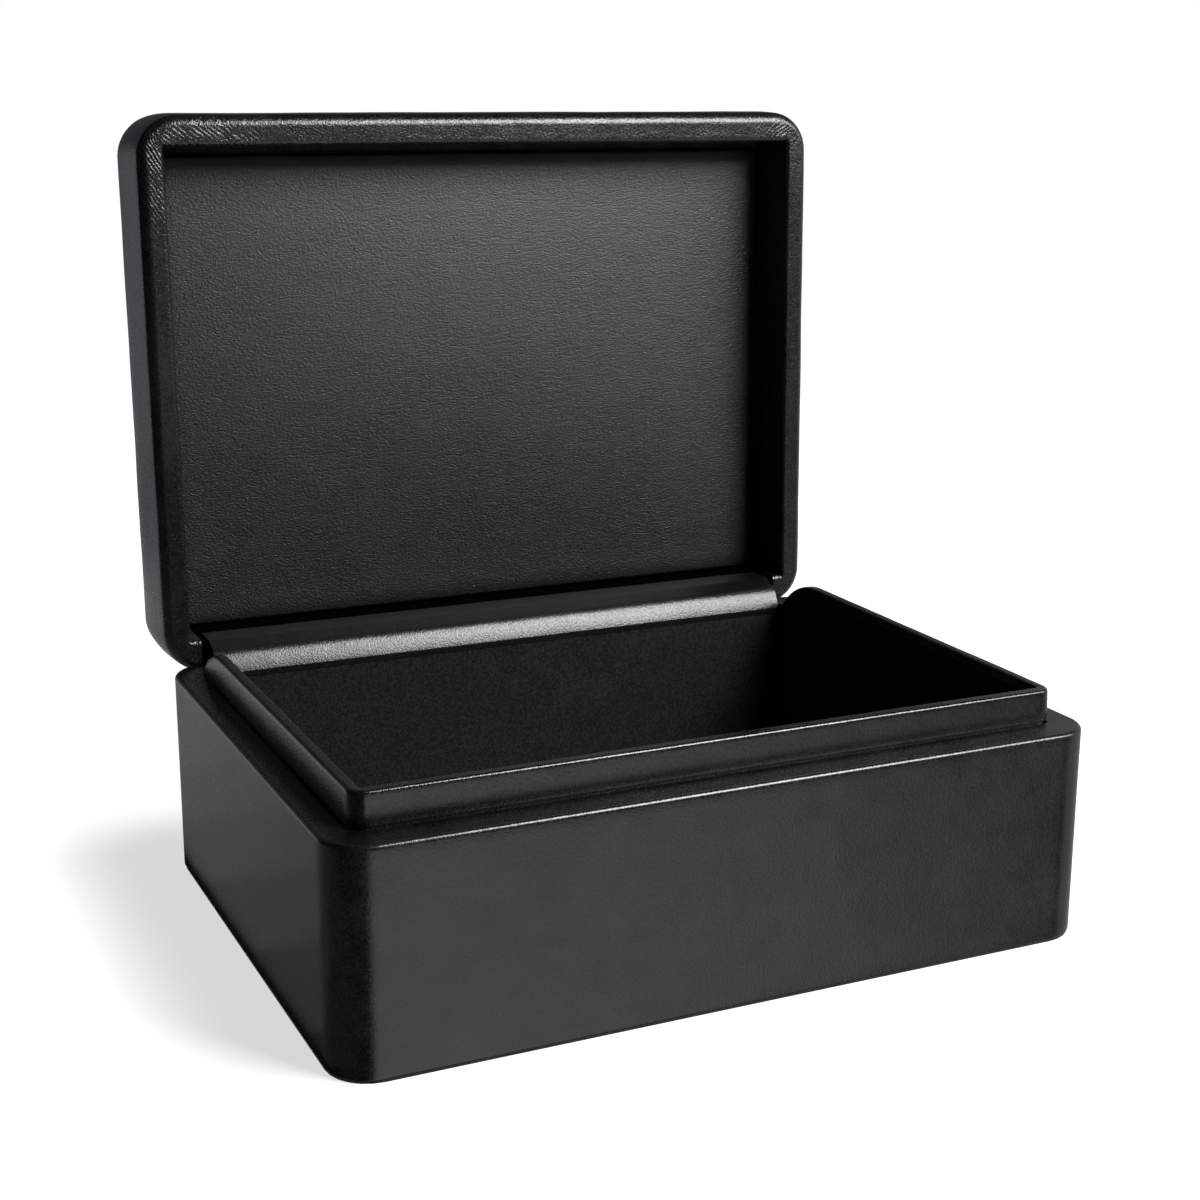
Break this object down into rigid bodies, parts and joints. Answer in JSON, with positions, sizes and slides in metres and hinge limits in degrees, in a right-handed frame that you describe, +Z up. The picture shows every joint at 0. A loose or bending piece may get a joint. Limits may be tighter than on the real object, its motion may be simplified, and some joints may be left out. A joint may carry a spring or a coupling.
{
  "type": "jewelry box",
  "caption": "Leather covered jewelry box with a raised inner collar, a lined interior and a recessed lid on a leather hinge along the rear edge.",
  "frame": {"origin": "centre of the underside, on the surface that the box stands on", "axes": "+X to the right, -Y to the front, +Z up; the lid's hinge line runs along X at the rear"},
  "size_m": [0.254, 0.2277, 0.2579],
  "materials": {
    "box_leather": "satin",
    "hinge_leather": "satin",
    "lining_leather": "satin",
    "suede": "matte",
    "felt": "matte",
    "foam": "matte",
    "card": "matte",
    "fibreboard": "matte"
  },
  "bodies": {
    "base": {"base_front_board": "fibreboard", "base_rear_board": "fibreboard", "base_left_board": "fibreboard", "base_right_board": "fibreboard", "base_floor_board": "fibreboard", "base_leather_wrap": "box_leather", "base_infill_card": "card", "base_bottom_pad": "felt", "collar_front_board": "fibreboard", "collar_left_board": "fibreboard", "collar_right_board": "fibreboard", "collar_leather": "box_leather", "lining_front": "suede", "lining_rear": "suede", "lining_left": "suede", "lining_right": "suede", "floor_pad_board": "card", "floor_pad_foam": "foam", "floor_pad_cover": "suede", "hinge_leather_lower": "hinge_leather"},
    "lid": {"lid_front_rail": "fibreboard", "lid_rear_rail": "fibreboard", "lid_left_rail": "fibreboard", "lid_right_rail": "fibreboard", "lid_top_board": "fibreboard", "lid_top_padding": "foam", "lid_rim_padding": "foam", "lid_leather_cover": "box_leather", "lid_lining_board": "card", "lid_lining_leather": "lining_leather", "hinge_leather_upper": "hinge_leather"}
  },
  "joints": [
    {"name": "lid_hinge", "type": "hinge", "parent": "base", "child": "lid", "pos_m": [0, 0.0923, 0.0707], "axis": [1, 0, 0], "range_deg": [0, 91.5]}
  ]
}
